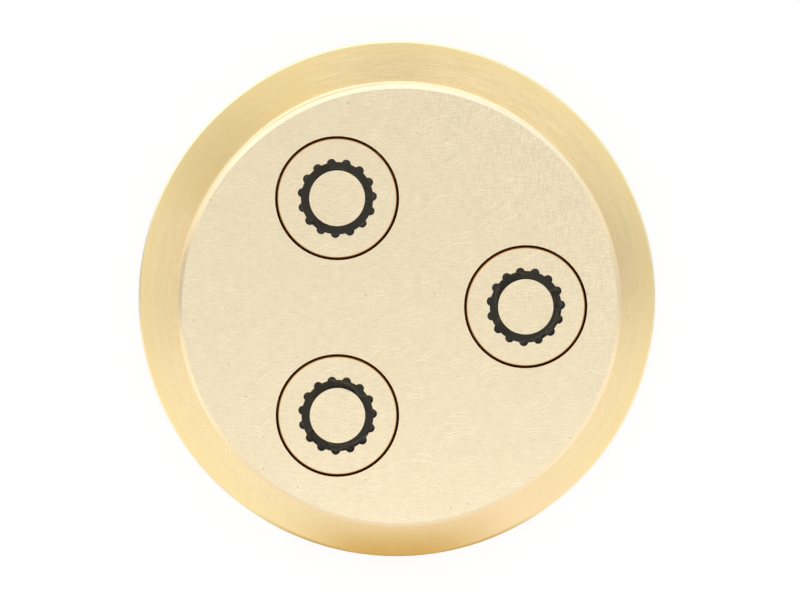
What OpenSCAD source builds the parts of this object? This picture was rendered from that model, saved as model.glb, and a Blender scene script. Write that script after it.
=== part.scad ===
// Pasta extrusion die: a turned brass disc with three removable inserts that press ridged, curling tubes.
// The dough enters at the rear face, z = 0, and leaves at the front face of the boss.
// Each insert is a sleeve with a ridged outlet and a core pin that makes the tube hollow.

/* [Die body] */
// Diameter of the flange that the extruder's ring nut clamps
flange_d = 78; // [70:0.5:100]
// Thickness of the flange
flange_t = 5; // [3:0.1:9]
// Diameter of the boss that stands on the flange
boss_d = 65; // [61:0.5:74]
// Height of the boss above the flange
boss_h = 13; // [8:0.5:20]
// Chamfer round the front face of the boss
boss_chamfer = 0.65; // [0.2:0.05:2]
// Radius of the fillet at the foot of the boss
foot_fillet = 0.6; // [0.2:0.1:2]
// Chamfer on the front edge of the flange
rim_chamfer = 0.3; // [0.1:0.05:1]
// Chamfer on the rear edge of the flange
rear_chamfer = 0.5; // [0.2:0.1:1.5]

/* [Insert bores] */
// Diameter of the circle that the inserts stand on
pitch_d = 36.75; // [33:0.05:40]
// Diameter of each feed funnel at the rear face
funnel_d = 26; // [22:0.5:28]
// Depth of the feed funnels, down to the inserts
funnel_depth = 3; // [1:0.1:4]
// Open gap between an insert's barrel and its bore, the ring seen at the front face
barrel_gap = 0.24; // [0.05:0.01:0.6]
// Fitting gap round the collars and the core bridges
fit_gap = 0.03; // [0.01:0.005:0.1]

/* [Insert sleeve] */
// Diameter of the barrel that reaches the front face
barrel_d = 17.6; // [16.6:0.05:18.8]
// Edge break round the front face of the barrel
barrel_break = 0.14; // [0.05:0.01:0.4]
// Diameter of the collar that takes the push of the dough
collar_d = 20.6; // [19.6:0.1:22]
// Length of the collar
collar_l = 4; // [3.6:0.1:6]
// Lead-in chamfer on the collar and on the core bridge
lead_chamfer = 0.3; // [0.1:0.05:0.8]
// Diameter of the dough chamber behind the outlet
chamber_d = 14; // [13.2:0.1:15.5]
// Length of the cone that leads from the chamber to the outlet
cone_l = 1.5; // [0.8:0.1:3]

/* [Ridged outlet] */
// Diameter of the outlet between its ridges
outlet_d = 10.55; // [9.6:0.05:12]
// Length of the straight outlet that shapes the tube
land_l = 3; // [1.5:0.1:4.5]
// Wall of the tube, the slot between the core pin and the outlet
tube_wall = 1.22; // [0.8:0.02:1.8]
// Number of ridges round the outlet
ridge_n = 15; // [9:1:18]
// Height of a ridge above the tube
ridge_h = 0.52; // [0.2:0.01:0.6]
// Width of a ridge, the diameter of its round flute
ridge_w = 1.35; // [0.8:0.05:1.7]
// Turn of the ridges from the die's x axis, in degrees
ridge_turn = 3; // [0:1:24]

/* [Core pin] */
// Diameter of the seat in the sleeve that holds the core bridge
seat_d = 17; // [16:0.1:18.5]
// Thickness of the core bridge
bridge_t = 3.5; // [2.5:0.1:3.9]
// Diameter of the stem between the bridge and the tip
stem_d = 6; // [4.5:0.1:6.8]
// Diameter of the circle that the feed ports lie on
port_circle_d = 10.4; // [9.8:0.1:10.8]
// Width of the wide port, on the side where the dough runs faster
fast_port_w = 3.2; // [2.6:0.1:3.4]
// Width of the two narrow ports
slow_port_w = 2.4; // [1.6:0.1:3]
// Width of the arms between the ports
arm_w = 2.4; // [1.5:0.1:3.5]

/* [Hidden] */
$fn = 96;
// Inserts are spread evenly round the die, the first on the x axis
insert_n = 3;
// Ports in a core bridge, the first of them the wide one
port_n = 3;
// How far a cut runs past the face that it opens
over = 1;
// Step left between the ridge tips and the end of the lead-in cone
cone_step = 0.1;
face_z = flange_t + boss_h;
insert_l = face_z - funnel_depth;
land_z = insert_l - land_l;
cone_z = land_z - cone_l;
bore_d = barrel_d + 2 * barrel_gap;
pocket_d = collar_d + 2 * fit_gap;
bridge_d = seat_d - 2 * fit_gap;
tip_d = outlet_d - 2 * tube_wall;
ridge_circle_d = outlet_d + 2 * ridge_h - ridge_w;
throat_d = outlet_d + 2 * (ridge_h + cone_step);
body_colour = "#EAD8B0";
sleeve_colour = "#E3CD9C";
core_colour = "#D2B678";

function insert_angle(i) = (i - 1) * 360 / insert_n;

// Puts a piece on the axis of insert i, at the height z
module at_insert(i, z = 0)
    translate([pitch_d / 2 * cos(insert_angle(i)), pitch_d / 2 * sin(insert_angle(i)), z])
        children();

// Half section of the turned disc: flange, filleted foot, boss
module body_section()
    difference() {
        polygon([
            [0, 0],
            [flange_d / 2 - rear_chamfer, 0],
            [flange_d / 2, rear_chamfer],
            [flange_d / 2, flange_t - rim_chamfer],
            [flange_d / 2 - rim_chamfer, flange_t],
            [boss_d / 2 + foot_fillet, flange_t],
            [boss_d / 2, flange_t + foot_fillet],
            [boss_d / 2, face_z - boss_chamfer],
            [boss_d / 2 - boss_chamfer, face_z],
            [0, face_z]
        ]);
        translate([boss_d / 2 + foot_fillet, flange_t + foot_fillet])
            circle(r = foot_fillet);
    }

// Stepped bore for one insert: feed funnel, collar pocket, barrel bore
module insert_bore()
    rotate_extrude()
        polygon([
            [0, -over],
            [funnel_d / 2, -over],
            [funnel_d / 2, 0],
            [pocket_d / 2, funnel_depth],
            [pocket_d / 2, funnel_depth + collar_l],
            [bore_d / 2, funnel_depth + collar_l],
            [bore_d / 2, face_z + over],
            [0, face_z + over]
        ]);

module die_body()
    color(body_colour)
        difference() {
            rotate_extrude() body_section();
            for (i = [1 : insert_n])
                at_insert(i) insert_bore();
        }

// Way of the dough through a sleeve: bridge seat, chamber, cone and plain outlet
module dough_way()
    rotate_extrude()
        polygon([
            [0, -over],
            [seat_d / 2, -over],
            [seat_d / 2, bridge_t],
            [chamber_d / 2, bridge_t],
            [chamber_d / 2, cone_z],
            [throat_d / 2, land_z],
            [outlet_d / 2, land_z],
            [outlet_d / 2, insert_l + over],
            [0, insert_l + over]
        ]);

// Round flutes that press the ridges
module ridge_flutes()
    for (k = [0 : ridge_n - 1])
        rotate(ridge_turn + k * 360 / ridge_n)
            translate([ridge_circle_d / 2, 0, land_z])
                cylinder(d = ridge_w, h = land_l + over);

module insert_sleeve(i)
    color(sleeve_colour)
        at_insert(i, funnel_depth)
            difference() {
                rotate_extrude()
                    polygon([
                        [0, 0],
                        [collar_d / 2, 0],
                        [collar_d / 2, collar_l - lead_chamfer],
                        [collar_d / 2 - lead_chamfer, collar_l],
                        [barrel_d / 2, collar_l],
                        [barrel_d / 2, insert_l - barrel_break],
                        [barrel_d / 2 - barrel_break, insert_l],
                        [0, insert_l]
                    ]);
                dough_way();
                ridge_flutes();
            }

// Kidney-shaped feed port with round ends, which leaves half an arm on each side
module feed_port(w) {
    span = 360 / port_n - 2 * asin((arm_w + w) / port_circle_d);
    translate([0, 0, -over]) {
        rotate(-span / 2)
            rotate_extrude(angle = span)
                translate([(port_circle_d - w) / 2, 0])
                    square([w, bridge_t + 2 * over]);
        for (side = [-1, 1])
            rotate(side * span / 2)
                translate([port_circle_d / 2, 0])
                    cylinder(d = w, h = bridge_t + 2 * over);
    }
}

// The wide port faces the middle of the die, so that the tubes curl outwards
module core_pin(i)
    color(core_colour)
        at_insert(i, funnel_depth)
            rotate(insert_angle(i) + 180)
                difference() {
                    rotate_extrude()
                        polygon([
                            [0, 0],
                            [bridge_d / 2, 0],
                            [bridge_d / 2, bridge_t - lead_chamfer],
                            [bridge_d / 2 - lead_chamfer, bridge_t],
                            [stem_d / 2, bridge_t],
                            [stem_d / 2, cone_z],
                            [tip_d / 2, land_z],
                            [tip_d / 2, insert_l],
                            [0, insert_l]
                        ]);
                    for (k = [0 : port_n - 1])
                        rotate(k * 360 / port_n)
                            feed_port(k == 0 ? fast_port_w : slow_port_w);
                }

die_body();
insert_sleeve(1);  // insert_sleeve_1
insert_sleeve(2);  // insert_sleeve_2
insert_sleeve(3);  // insert_sleeve_3
core_pin(1);  // core_pin_1
core_pin(2);  // core_pin_2
core_pin(3);  // core_pin_3
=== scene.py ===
import math

import bpy
from mathutils import Matrix, Vector


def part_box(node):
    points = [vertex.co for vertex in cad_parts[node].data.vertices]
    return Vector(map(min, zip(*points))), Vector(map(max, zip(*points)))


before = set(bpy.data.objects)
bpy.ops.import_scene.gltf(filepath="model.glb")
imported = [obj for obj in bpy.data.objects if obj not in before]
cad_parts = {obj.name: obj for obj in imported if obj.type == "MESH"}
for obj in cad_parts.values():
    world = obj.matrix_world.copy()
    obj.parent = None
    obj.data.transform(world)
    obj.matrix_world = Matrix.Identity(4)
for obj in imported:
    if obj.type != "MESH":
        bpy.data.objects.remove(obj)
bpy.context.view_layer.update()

scene = bpy.context.scene
scene.view_settings.view_transform = "Standard"
print("frame loaded:", ", ".join(sorted(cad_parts)))

# places and sizes that the frame gives, in metres
bodyLow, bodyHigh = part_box("die_body")
faceZ = bodyHigh.z                          # front face
flangeRadius = bodyHigh.x
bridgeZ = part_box("core_pin_1")[0].z         # rear face of the bridges that carry the core pins

insertSpots = []
for number in (1, 2, 3):
    low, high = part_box("insert_sleeve_%d" % number)
    insertSpots.append(((low.x + high.x) / 2, (low.y + high.y) / 2, 0.0))


def upperRadius(name, spot):  # of the upper half, which is clear of the flange and of the collars
    upper = [vertex.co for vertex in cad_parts[name].data.vertices if vertex.co.z > faceZ / 2]
    return max(math.hypot(point.x - spot[0], point.y - spot[1]) for point in upper)


bossRadius = upperRadius("die_body", (0.0, 0.0))
barrelRadius = upperRadius("insert_sleeve_1", insertSpots[0])
print("radii: flange %.5f, boss %.5f, barrel %.5f" % (flangeRadius, bossRadius, barrelRadius))


# shader maths: a Wire is one output socket, and arithmetic on wires adds Math nodes

class Wire:
    def __init__(self, tree, socket=None):
        self.tree = tree
        self.socket = socket

    def node(self, kind, settings=None, inputs=None, out=0):
        made = self.tree.nodes.new(kind)
        for name, value in (settings or {}).items():
            setattr(made, name, value)
        for name, value in (inputs or {}).items():
            if isinstance(value, Wire):
                self.tree.links.new(value.socket, made.inputs[name])
            else:
                made.inputs[name].default_value = value
        return Wire(self.tree, made.outputs[out] if made.outputs else None)

    def math(self, operation, *values):
        return self.node("ShaderNodeMath", {"operation": operation}, dict(enumerate(values)))

    def __add__(self, other):
        return self.math("ADD", self, other)

    def __radd__(self, other):
        return self.math("ADD", other, self)

    def __sub__(self, other):
        return self.math("SUBTRACT", self, other)

    def __rsub__(self, other):
        return self.math("SUBTRACT", other, self)

    def __mul__(self, other):
        return self.math("MULTIPLY", self, other)

    def __rmul__(self, other):
        return self.math("MULTIPLY", other, self)

    def __truediv__(self, other):
        return self.math("DIVIDE", self, other)

    def __rtruediv__(self, other):
        return self.math("DIVIDE", other, self)

    def __abs__(self):
        return self.math("ABSOLUTE", self)

    def smooth(self, low, high):  # 0 at low, 1 at high, soft between
        return self.node("ShaderNodeMapRange", {"interpolation_type": "SMOOTHSTEP"},
                         {"Value": self, "From Min": low, "From Max": high})

    def part(self, axis):
        return self.node("ShaderNodeSeparateXYZ", None, {0: self}, out=axis)

    def other(self, name):  # another output of the same node
        return Wire(self.tree, self.socket.node.outputs[name])


def vectorOp(a, operation, b=(0, 0, 0)):
    return a.node("ShaderNodeVectorMath", {"operation": operation}, {0: a, 1: b},
                  out=1 if operation in ("LENGTH", "DISTANCE", "DOT_PRODUCT") else 0)


def flatten(place):
    return vectorOp(place, "MULTIPLY", (1, 1, 0))


def mixColour(factor, a, b):  # 6, 7 and 2 are the colour sockets of a Mix node
    return factor.node("ShaderNodeMix", {"data_type": "RGBA"}, {0: factor, 6: a, 7: b}, out=2)


def blend(paint, factor, a, b):
    return paint.node("ShaderNodeMixShader", None, {0: factor, 1: a, 2: b})


def noise(place, size, detail=2.0, rough=0.5):
    return place.node("ShaderNodeTexNoise", None,
                      {"Vector": place, "Scale": 1.0 / size, "Detail": detail, "Roughness": rough})


def lineNoise(place, size):
    return place.node("ShaderNodeTexNoise", {"noise_dimensions": "1D"}, {"W": place, "Scale": 1.0 / size})


def newTree(block):
    block.use_nodes = True
    block.node_tree.nodes.clear()
    return Wire(block.node_tree)


def finishMaterial(paint, shader):
    paint.node("ShaderNodeOutputMaterial", None, {"Surface": shader})


# camera at the photograph's viewing angle: almost straight down, leaning a little to the upper left

cameraFit = {
    "imageSize": (800, 600),
    "faceCentre": (400.2, 307.1),     # pixel of the middle of the front face
    "pixelsPerMetre": 6844.0,         # at the front face
    "distance": 0.406,                # from the front face
    "tilt": math.radians(4.61),       # away from straight above
    "lean": (-0.365, 0.931),          # the side that the camera leans to
    "sensor": 36.0,
}


def placeCamera(fit):
    width, height = fit["imageSize"]
    lean = Vector((*fit["lean"], 0.0)).normalized()
    back = lean * math.sin(fit["tilt"]) + Vector((0, 0, math.cos(fit["tilt"])))
    right = Vector((0, 1, 0)).cross(back).normalized()
    up = back.cross(right)
    aside = (width / 2 - fit["faceCentre"][0]) / fit["pixelsPerMetre"]
    above = (fit["faceCentre"][1] - height / 2) / fit["pixelsPerMetre"]
    spot = Vector((0, 0, faceZ)) + right * aside + up * above + back * fit["distance"]
    data = bpy.data.cameras.new("camera")
    data.sensor_width = fit["sensor"]
    data.lens = fit["pixelsPerMetre"] * fit["distance"] * fit["sensor"] / width
    camera = bpy.data.objects.new("camera", data)
    camera.matrix_world = Matrix((
        (right.x, up.x, back.x, spot.x),
        (right.y, up.y, back.y, spot.y),
        (right.z, up.z, back.z, spot.z),
        (0, 0, 0, 1)))
    scene.collection.objects.link(camera)
    scene.camera = camera


placeCamera(cameraFit)
print("camera placed")


# studio: a soft white room with light panels standing round the object and a softbox overhead

studio = {
    "room": 0.86,
    # azimuth, half width and soft edge in degrees; brightness added near the horizon and higher up
    "panels": [
        {"azimuth": -33, "half": 21, "edge": 8, "low": 0.63, "high": 1.07},
        {"azimuth": -140, "half": 20, "edge": 8, "low": 0.0, "high": 1.46},
        {"azimuth": -155, "half": 15, "edge": 8, "low": 0.73, "high": 0.0},
        {"azimuth": 115, "half": 15, "edge": 6, "low": 0.0, "high": 1.44},
        {"azimuth": 54, "half": 26, "edge": 6, "low": 0.0, "high": 1.11},
        {"azimuth": 172, "half": 14, "edge": 8, "low": 0.0, "high": 0.76},
        {"azimuth": 90, "half": 59, "edge": 18, "low": 0.22, "high": 0.0},
        {"azimuth": 97, "half": 32, "edge": 12, "low": 0.34, "high": 0.0},
        {"azimuth": 89, "half": 8, "edge": 7, "low": 0.40, "high": 0.0},
        {"azimuth": 145, "half": 16, "edge": 8, "low": 0.62, "high": 0.0},
        {"azimuth": 14, "half": 9, "edge": 6, "low": 0.30, "high": 0.48},
        {"azimuth": 1, "half": 8, "edge": 6, "low": -0.50, "high": -0.84},
        {"azimuth": 179, "half": 9, "edge": 6, "low": -0.95, "high": 0.0},
        {"azimuth": -82, "half": 22, "edge": 10, "low": 0.16, "high": 0.0},
    ],
    # sine of the elevation
    "lowStart": (-0.30, -0.05),
    "lowEnd": (0.15, 0.40),
    "highStart": (0.56, 0.76),
    "highEnd": (0.86, 0.97),
    "softboxPower": 0.12,
    "softboxSize": 0.22,
    "softboxPlace": (0.02, -0.21, 0.34),
}


def lightRoom(setup):
    world = bpy.data.worlds.new("room")
    scene.world = world
    paint = newTree(world)
    direction = paint.node("ShaderNodeTexCoord", out="Generated")
    level = vectorOp(flatten(direction), "NORMALIZE")
    z = direction.part(2)
    lowPart = z.smooth(*setup["lowStart"]) * (1 - z.smooth(*setup["lowEnd"]))
    highPart = z.smooth(*setup["highStart"]) * (1 - z.smooth(*setup["highEnd"]))
    strength = setup["room"]
    for panel in setup["panels"]:
        turn = math.radians(panel["azimuth"])
        outer = math.cos(math.radians(panel["half"] + panel["edge"]))
        inner = math.cos(math.radians(panel["half"] - panel["edge"]))
        toward = vectorOp(level, "DOT_PRODUCT", (math.cos(turn), math.sin(turn), 0))
        added = lowPart * panel["low"] + highPart * panel["high"]
        strength = toward.smooth(outer, inner) * added + strength
    seen = paint.node("ShaderNodeLightPath", out="Is Camera Ray")      # the background itself is white
    strength = strength * (1 - seen) + seen
    glow = paint.node("ShaderNodeBackground", None, {"Color": (1, 1, 1, 1), "Strength": strength})
    paint.node("ShaderNodeOutputWorld", None, {"Surface": glow})
    lamp = bpy.data.lights.new("softbox", "AREA")
    lamp.shape = "SQUARE"
    lamp.size = setup["softboxSize"]
    lamp.energy = setup["softboxPower"]
    box = bpy.data.objects.new("softbox", lamp)
    box.location = setup["softboxPlace"]
    aim = Vector((0, 0, faceZ)) - box.location
    box.rotation_euler = aim.to_track_quat("-Z", "Y").to_euler()
    scene.collection.objects.link(box)


floorSheet = {
    "size": 3.0,
    "drop": 0.00005,                    # keeps it out of the plane of the rear face
    "colour": (0.93, 0.93, 0.93, 1.0),
    "shadow": 0.15,                     # share of the real shading that the camera sees
    "underDie": (0.040, 0.037, 0.029, 1.0),     # the gloom that shows through the feed ports
    "underEdge": 0.93,                  # it ends between this share of the flange's radius and the rim
    "clearWithin": (0.0050, 0.0060),    # shorter rays go through, so that the rear is lit from below
}


def layFloor(sheet):
    half = sheet["size"] / 2
    mesh = bpy.data.meshes.new("floor")
    mesh.from_pydata([(-half, -half, 0), (half, -half, 0), (half, half, 0), (-half, half, 0)],
                     [], [(0, 1, 2, 3)])
    floor = bpy.data.objects.new("floor", mesh)
    floor.location.z = bodyLow.z - sheet["drop"]
    scene.collection.objects.link(floor)
    material = bpy.data.materials.new("white_floor")
    paint = newTree(material)
    shaded = paint.node("ShaderNodeBsdfDiffuse", None, {"Color": sheet["colour"]})
    white = paint.node("ShaderNodeEmission", None, {"Strength": 1.0})
    gloom = paint.node("ShaderNodeEmission", None, {"Color": sheet["underDie"]})
    clear = paint.node("ShaderNodeBsdfTransparent")
    path = paint.node("ShaderNodeLightPath", out="Is Camera Ray")
    seen = path                         # by the camera or in a reflection
    for name in ("Is Glossy Ray", "Is Transmission Ray"):
        seen = seen.math("MAXIMUM", seen, path.other(name))
    fromAxis = vectorOp(paint.node("ShaderNodeTexCoord", out="Object"), "LENGTH")
    beside = fromAxis.smooth(flangeRadius * sheet["underEdge"], flangeRadius)
    plain = blend(paint, beside, gloom, blend(paint, 1 - sheet["shadow"], shaded, white))
    top = blend(paint, seen, shaded, plain)
    beneath = paint.node("ShaderNodeNewGeometry", out="Backfacing")     # clear from below as well
    close = 1 - path.other("Ray Length").smooth(*sheet["clearWithin"])
    finishMaterial(paint, blend(paint, beneath.math("MAXIMUM", beneath, close), top, clear))
    mesh.materials.append(material)


lightRoom(studio)
layFloor(floorSheet)
print("studio lit")


# sanded brass of the front face

sanding = {
    "pale": (0.893, 0.764, 0.531, 1.0),
    "deep": (0.740, 0.633, 0.437, 1.0),
    "scratchGlint": (1.000, 0.905, 0.690, 1.0),
    "speck": (0.420, 0.330, 0.200, 1.0),
    "roughness": 0.34,
    "roughGrain": 0.12,                     # added by the grain
    "roughArcs": 0.05,                      # taken off by the arcs
    "grainSize": 0.00022,
    "mottleSize": 0.0011,
    "cloudSize": 0.0045,
    "upright": {"size": 0.00026, "stretch": (1, 0.13, 1)},      # short lines along y
    "across": {"size": 0.00024, "stretch": (0.16, 1, 1)},       # and along x
    "brushedSide": (0.77, 0.64, 0.0),       # the edge that was also brushed up and down
    "brushedReach": (0.010, 0.031),
    "cloudTone": 0.4,
    "mottleTone": 0.55,
    # tone everywhere, and what the brushed edge adds to it
    "lineTone": {"upright": (0.2, 1.6), "grain": (2.0, 0.9), "across": (1.0, 0.5)},
    "scratchGlintTone": 0.75,
    "specks": {"cell": 0.0025, "rare": (0.96, 0.97), "edge": (0.025, 0.06), "tone": 0.8},
    "relief": {"grain": 0.4, "upright": 0.35, "across": 0.3, "arcs": 0.2},
    "bump": {"Strength": 0.25, "Distance": 0.00002},
    # orbital sanding leaves sets of circular lines, of which the tops catch the light; that glint is
    # painted into the base colour as a paler line, while the lines also cut the relief and lower the
    # roughness
    "arcs": [
        {"cell": 0.0045, "spacing": 0.00045, "shift": (0.0, 0.0, 0.0), "depth": 1.0},
        {"cell": 0.0062, "spacing": 0.00055, "shift": (0.0131, 0.0075, 0.0), "depth": 0.9},
        {"cell": 0.0085, "spacing": 0.00070, "shift": (0.0312, 0.0223, 0.0), "depth": 0.7},
        {"cell": 0.0110, "spacing": 0.00095, "shift": (0.0507, 0.0418, 0.0), "depth": 0.55},
    ],
    "arcLine": {
        "width": 0.00010,
        "seed": 53.0,                       # sets the draw of one cell apart from the next
        "drawn": (0.26, 0.85),              # part of the lines that show
        "lean": 1.1,                        # how far a set's top turns away from +y, in radians
        "lit": (0.56, 0.96),                # how near its top a line is lit
        "smallest": (0.0011, 0.0019),
        "wornSize": 0.0030,
        "worn": (0.42, 0.60),
    },
}


def sandingArcs(place, layer, line):
    moved = vectorOp(flatten(place), "ADD", layer["shift"])
    cell = place.node("ShaderNodeTexVoronoi", {"voronoi_dimensions": "2D"},
                      {"Vector": moved, "Scale": 1.0 / layer["cell"]})
    away = vectorOp(moved, "SUBTRACT", cell.other("Position"))
    chance = cell.other("Color")
    distance = vectorOp(away, "LENGTH")
    step = distance / layer["spacing"]
    ring = step.math("FLOOR", step)
    thin = 1 - abs(step - ring - 0.5).smooth(0.0, line["width"] / layer["spacing"])
    key = place.node("ShaderNodeCombineXYZ", None, {0: ring, 1: chance.part(0) * line["seed"]})
    drawn = place.node("ShaderNodeTexWhiteNoise", {"noise_dimensions": "2D"}, {"Vector": key})
    lean = (chance.part(1) - 0.5) * line["lean"]
    top = away.part(0) * lean.math("SINE", lean) + away.part(1) * lean.math("COSINE", lean)
    # painted glint: a line shows in colour only near the top of its circle, where it would catch the light
    lit = (top / distance).smooth(*line["lit"]) * distance.smooth(*line["smallest"])
    worn = noise(moved, line["wornSize"], detail=1.0).smooth(*line["worn"])
    return thin * drawn.smooth(*line["drawn"]) * lit * worn * layer["depth"]


def sandedBrass(paint, place, finish, coarse=1.0):
    flatPlace = flatten(place)
    grain = noise(flatPlace, finish["grainSize"], rough=0.6) - 0.5
    mottle = noise(flatPlace, finish["mottleSize"]) - 0.5
    cloud = noise(flatPlace, finish["cloudSize"], detail=3.0) - 0.5
    upright = vectorOp(flatPlace, "MULTIPLY", finish["upright"]["stretch"])
    upright = noise(upright, finish["upright"]["size"], detail=1.0) - 0.5
    across = vectorOp(flatPlace, "MULTIPLY", finish["across"]["stretch"])
    across = noise(across, finish["across"]["size"]) - 0.5
    arcs = None
    for layer in finish["arcs"]:
        one = sandingArcs(place, layer, finish["arcLine"])
        arcs = one if arcs is None else arcs.math("MAXIMUM", arcs, one)
    brushed = vectorOp(flatPlace, "DOT_PRODUCT", finish["brushedSide"]).smooth(*finish["brushedReach"])
    weight = {name: always + brushed * added for name, (always, added) in finish["lineTone"].items()}
    tone = 0.5 + cloud * finish["cloudTone"] + mottle * finish["mottleTone"] + upright * weight["upright"]
    tone = tone + (grain * weight["grain"] + across * weight["across"]) * coarse
    colour = mixColour(tone, finish["deep"], finish["pale"])
    # painted glint of the sanding lines' tops
    colour = mixColour(arcs * finish["scratchGlintTone"], colour, finish["scratchGlint"])
    specks = finish["specks"]
    dot = place.node("ShaderNodeTexVoronoi", {"voronoi_dimensions": "2D"},
                     {"Vector": flatPlace, "Scale": 1.0 / specks["cell"]})
    speck = dot.other("Color").part(0).smooth(*specks["rare"]) * (1 - dot.smooth(*specks["edge"]))
    relief = finish["relief"]
    height = grain * relief["grain"] + upright * relief["upright"] + across * relief["across"]
    height = height - arcs * relief["arcs"] - speck
    return paint.node("ShaderNodeBsdfPrincipled", None, {
        "Base Color": mixColour(speck * specks["tone"], colour, finish["speck"]),
        "Metallic": 1.0,
        "Roughness": finish["roughness"] + grain * finish["roughGrain"] - arcs * finish["roughArcs"],
        "Normal": paint.node("ShaderNodeBump", None, {**finish["bump"], "Height": height})})


# turned brass of the flange, the walls and the rear

turning = {
    "pale": (0.970, 0.808, 0.504, 1.0),
    "deep": (0.844, 0.686, 0.385, 1.0),
    "outer": (0.910, 0.727, 0.348, 1.0),    # the flange yellows a little toward its rim
    "outerTone": 0.55,
    "edge": (0.945, 0.785, 0.505, 1.0),     # chamfers and fillets
    # painted highlight on the chamfers at the top, painted shade that warms those on the lower half, and a
    # painted highlight on the rim chamfer, mostly on its upper half
    "topEdgeHighlight": (0.965, 0.895, 0.655, 1.0),
    "lowerEdgeShade": (0.955, 0.765, 0.492, 1.0),
    "rim": (0.950, 0.905, 0.585, 1.0),
    "rimLeast": 0.15,                       # share of the rim's colour at the bottom
    "wall": (0.760, 0.630, 0.405, 1.0),
    "roughness": 0.36,
    "roughLines": 0.15,
    "anisotropy": 0.85,
    "glossTurn": 0.25,                      # a quarter turn, so that the gloss runs across the turned lines
    "lineSize": 0.00016,
    "lineBreaks": (9, 9, 0),                # lines break off on the way round
    "broadSize": 0.0021,
    "broadShift": 0.37,
    "grainSize": 0.00030,
    "cloudSize": 0.0090,
    "fineTone": (0.9, 1.0, 1.4),            # everywhere, added on the upper half, added at the top
    "broadTone": (0.4, 0.5),
    "grainTone": 1.3,
    "cloudTone": 0.3,
    "bump": {"Strength": 0.2, "Distance": 0.00001},
    "grainRelief": 0.3,
    # slope: 1 where a surface lies flat, 0 where it stands upright
    "flatSlope": (0.90, 0.98),
    "wallSlope": (0.05, 0.30),
    "chamferSlope": (0.25, 0.55),
    # along y
    "upperReach": (-0.020, 0.030),
    "topReach": (0.020, 0.036),
    "topEdgeReach": (0.012, 0.027),
    # distance from the axis
    "outerReach": (flangeRadius - 0.0040, flangeRadius - 0.0003),
    "rimReach": (flangeRadius - 0.0010, flangeRadius - 0.0004),
    "wallEnd": (bossRadius + 0.0005, bossRadius + 0.0010),
    # painted light and shade: faint tints on two sides of the flange, a darker yellow one as painted shade
    # and a rosy one as a painted reflection
    "paintedSideTints": [
        {"colour": (0.860, 0.690, 0.345, 1.0), "side": (-0.669, 0.743, 0.0), "reach": (0.86, 0.98)},
        {"colour": (0.900, 0.700, 0.425, 1.0), "side": (0.500, -0.866, 0.0), "reach": (0.93, 1.00)},
    ],
    "tintTone": 0.7,
    # painted shade: a warm darkening along the bottom of the flange, strongest at the rim, painted into the
    # base colour
    "paintedShade": {
        "colour": (0.572, 0.330, 0.072, 1.0),
        "side": (0.0, -1.0, 0.0),
        "reach": (0.77, 1.03),
        "start": (bossRadius - 0.0011, bossRadius + 0.0003),
        "rise": (bossRadius, flangeRadius + 0.0002),
        "least": 0.20,
        "cloud": 0.3,
        "rimSide": (0.80, 0.97),
        "rimReach": (flangeRadius - 0.0008, flangeRadius - 0.0002),
        "rimTone": 0.85,
    },
}


# paints shade into the base colour: darker and warmer toward the bottom of the flange, and along the rim
# there
def paintShadeBelow(place, radius, cloud, paintedShade):
    side = vectorOp(place, "DOT_PRODUCT", paintedShade["side"]) / radius
    below = side.smooth(*paintedShade["reach"])
    outward = paintedShade["least"] + (1 - paintedShade["least"]) * radius.smooth(*paintedShade["rise"])
    spread = below * below * below * outward * (1 + cloud * paintedShade["cloud"]) * radius.smooth(*paintedShade["start"])
    onRim = side.smooth(*paintedShade["rimSide"]) * radius.smooth(*paintedShade["rimReach"]) * paintedShade["rimTone"]
    return spread.math("MAXIMUM", spread, onRim)


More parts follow.
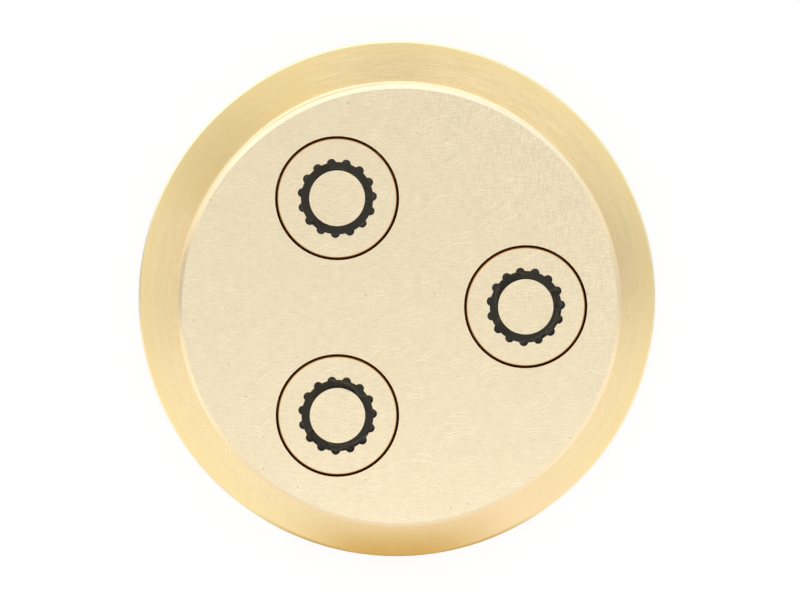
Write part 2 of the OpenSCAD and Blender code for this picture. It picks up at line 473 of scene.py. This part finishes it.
def turnedBrass(paint, place, finish):
    radius = vectorOp(flatten(place), "LENGTH")
    along = radius + place.part(2)      # counts the turned lines on flat faces and on walls
    around = vectorOp(flatten(place), "NORMALIZE")
    around = vectorOp(around, "MULTIPLY", finish["lineBreaks"])
    lines = around.node("ShaderNodeCombineXYZ", None, {2: along / finish["lineSize"]})
    fine = noise(vectorOp(around, "ADD", lines), 1.0) - 0.5
    broad = lineNoise(along + finish["broadShift"], finish["broadSize"]) - 0.5
    grain = noise(place, finish["grainSize"]) - 0.5
    cloud = noise(place, finish["cloudSize"]) - 0.5
    slope = abs(paint.node("ShaderNodeTexCoord", out="Normal").part(2))
    upper = place.part(1).smooth(*finish["upperReach"])
    top = place.part(1).smooth(*finish["topReach"])

    always, onUpper, atTop = finish["fineTone"]
    tone = 0.5 + fine * (always + upper * onUpper + top * atTop)
    always, onUpper = finish["broadTone"]
    tone = tone + broad * (always + upper * onUpper)
    tone = tone + grain * finish["grainTone"] + cloud * finish["cloudTone"]
    colour = mixColour(tone, finish["deep"], finish["pale"])
    colour = mixColour(radius.smooth(*finish["outerReach"]) * finish["outerTone"], colour, finish["outer"])
    # painted light and shade on two sides of the flange
    for tint in finish["paintedSideTints"]:
        tinted = (vectorOp(place, "DOT_PRODUCT", tint["side"]) / radius).smooth(*tint["reach"])
        colour = mixColour(tinted * (finish["tintTone"] + cloud), colour, tint["colour"])

    # painted highlight and shade on the chamfers: paler at the top and on the rim, warmer below
    rim = radius.smooth(*finish["rimReach"]) * (finish["rimLeast"] + (1 - finish["rimLeast"]) * upper)
    rim = rim * slope.smooth(*finish["chamferSlope"])
    edgeColour = mixColour(upper, finish["lowerEdgeShade"], finish["edge"])
    edgeColour = mixColour(place.part(1).smooth(*finish["topEdgeReach"]), edgeColour, finish["topEdgeHighlight"])
    edgeColour = mixColour(rim, edgeColour, finish["rim"])
    colour = mixColour(1 - slope.smooth(*finish["flatSlope"]), colour, edgeColour)
    wall = (1 - slope.smooth(*finish["wallSlope"])) * (1 - radius.smooth(*finish["wallEnd"]))
    colour = mixColour(wall, colour, finish["wall"])
    # painted shade along the bottom of the flange
    shadeBelow = paintShadeBelow(place, radius, cloud, finish["paintedShade"])
    relief = fine + grain * finish["grainRelief"]
    return paint.node("ShaderNodeBsdfPrincipled", None, {
        "Base Color": mixColour(shadeBelow, colour, finish["paintedShade"]["colour"]),
        "Metallic": 1.0,
        "Roughness": finish["roughness"] + fine * finish["roughLines"],
        "Anisotropic": finish["anisotropy"],
        "Anisotropic Rotation": finish["glossTurn"],
        "Normal": paint.node("ShaderNodeBump", None, {**finish["bump"], "Height": relief})})


# a brown film fills the gap round each insert and thins out to gold on the edge of the barrel; the film is
# partly painted shade, dark brown in the deep gap and on the face beside it, and the gold is a painted
# reflection of the brass in the gap

gapFilmAndShade = {
    "goldReflection": (0.38, 0.170, 0.018, 1.0),
    "dark": (0.13, 0.036, 0.006, 1.0),
    "wall": (0.34, 0.060, 0.008, 1.0),
    "roughness": 0.45,
    "roughFilm": 0.2,
    "filmSize": 0.0006,
    # distance from the insert's axis
    "faceReach": (barrelRadius - 0.00029, barrelRadius - 0.00018),      # on the face of the barrel
    "edgeReach": (barrelRadius - 0.00020, barrelRadius - 0.00006),      # over its broken edge
    "edgeStart": (barrelRadius - 0.00020, barrelRadius - 0.00016),
    "wallReach": (barrelRadius - 0.00003, barrelRadius - 0.00001),      # on its wall
    "boreReach": (barrelRadius + 0.00021, barrelRadius + 0.00024),      # up to the edge of the bore
    "boreEnd": (barrelRadius + 0.00030, barrelRadius + 0.00032),        # and on the bore's wall
    "aboveCollar": (0.0075, 0.0085),        # heights between which the film begins
}


def insertRadius(place):
    nearest = None
    for spot in insertSpots:
        one = vectorOp(flatten(place), "DISTANCE", spot)
        nearest = one if nearest is None else nearest.math("MINIMUM", nearest, one)
    return nearest


# painted shade and reflection: dark brown in the gap and a gold reflection over the barrel's edge
def gapBrass(paint, place, away, film):
    colour = mixColour(away.smooth(*film["edgeReach"]), film["goldReflection"], film["dark"])
    return paint.node("ShaderNodeBsdfPrincipled", None, {
        "Base Color": mixColour(away.smooth(*film["wallReach"]), colour, film["wall"]),
        "Metallic": 1.0,
        "Roughness": film["roughness"] + noise(place, film["filmSize"]) * film["roughFilm"]})


# materials of the pieces

faceSkin = 0.00001      # what lies within this depth of the front face is sanded


def frontFace(place):
    return place.part(2).smooth(faceZ - 2 * faceSkin, faceZ - faceSkin)


def bodyMaterial(name):
    material = bpy.data.materials.new(name)
    paint = newTree(material)
    place = paint.node("ShaderNodeTexCoord", out="Object")
    away = insertRadius(place)
    turned = turnedBrass(paint, place, turning)
    sanded = sandedBrass(paint, place, sanding)
    gapFilmShade = gapBrass(paint, place, away, gapFilmAndShade)
    behind = blend(paint, 1 - away.smooth(*gapFilmAndShade["boreEnd"]), turned, gapFilmShade)
    front = blend(paint, 1 - away.smooth(*gapFilmAndShade["boreReach"]), sanded, gapFilmShade)
    finishMaterial(paint, blend(paint, frontFace(place), behind, front))
    return material


# dried dough dulls the way through the insert: thin near the front, pale below it, dark in the feed ports;
# these tones are also painted light and shade
# painted shade near the front and in the feed ports, where light comes in; a pale film further down,
# painted as light where little light reaches
outletFilmAndShade = {
    "front": (0.105, 0.099, 0.085, 1.0),
    "deep": (0.66, 0.625, 0.545, 1.0),
    "port": (0.095, 0.090, 0.079, 1.0),
    "roughness": 0.9,
    "specular": 0.1,
    "reach": (0.0073, 0.0074),              # distance from the insert's axis, just past the dough chamber
    # heights
    "start": (bridgeZ + 0.00004, bridgeZ + 0.00014),
    "portEnd": (bridgeZ + 0.0004, bridgeZ + 0.0030),
    "frontStart": (faceZ - 0.0060, faceZ - 0.0015),
}


# painted light and shade in the base colour, graded by height
def doughFilmAndPaintedLight(paint, height, film):
    colour = mixColour(height.smooth(*film["frontStart"]), film["deep"], film["front"])
    return paint.node("ShaderNodeBsdfPrincipled", None, {
        "Base Color": mixColour(height.smooth(*film["portEnd"]), film["port"], colour),
        "Roughness": film["roughness"],
        "Specular IOR Level": film["specular"]})


def insertMaterial(name, coarse):
    material = bpy.data.materials.new(name)
    paint = newTree(material)
    place = paint.node("ShaderNodeTexCoord", out="Object")
    height = place.part(2)
    away = insertRadius(place)
    turned = turnedBrass(paint, place, turning)
    sanded = sandedBrass(paint, place, sanding, coarse)
    gapFilmShade = gapBrass(paint, place, away, gapFilmAndShade)
    paintedOutletLight = doughFilmAndPaintedLight(paint, height, outletFilmAndShade)
    filmAndLightMask = (1 - away.smooth(*outletFilmAndShade["reach"])) * height.smooth(*outletFilmAndShade["start"])
    inGap = away.smooth(*gapFilmAndShade["edgeStart"]) * height.smooth(*gapFilmAndShade["aboveCollar"])
    behind = blend(paint, inGap, blend(paint, filmAndLightMask, turned, paintedOutletLight), gapFilmShade)
    front = blend(paint, away.smooth(*gapFilmAndShade["faceReach"]), sanded, gapFilmShade)
    finishMaterial(paint, blend(paint, frontFace(place), behind, front))
    return material


def dress(prefix, material):
    for name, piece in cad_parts.items():
        if name.startswith(prefix):
            piece.data.materials.clear()
            piece.data.materials.append(material)


sandingGrain = {"sleeve": 1.2, "core": 1.6}     # coarser on the inserts than on the body

dress("die_body", bodyMaterial("body_brass"))
dress("insert_sleeve", insertMaterial("sleeve_brass", sandingGrain["sleeve"]))
dress("core_pin", insertMaterial("core_brass", sandingGrain["core"]))
print("finishes on")
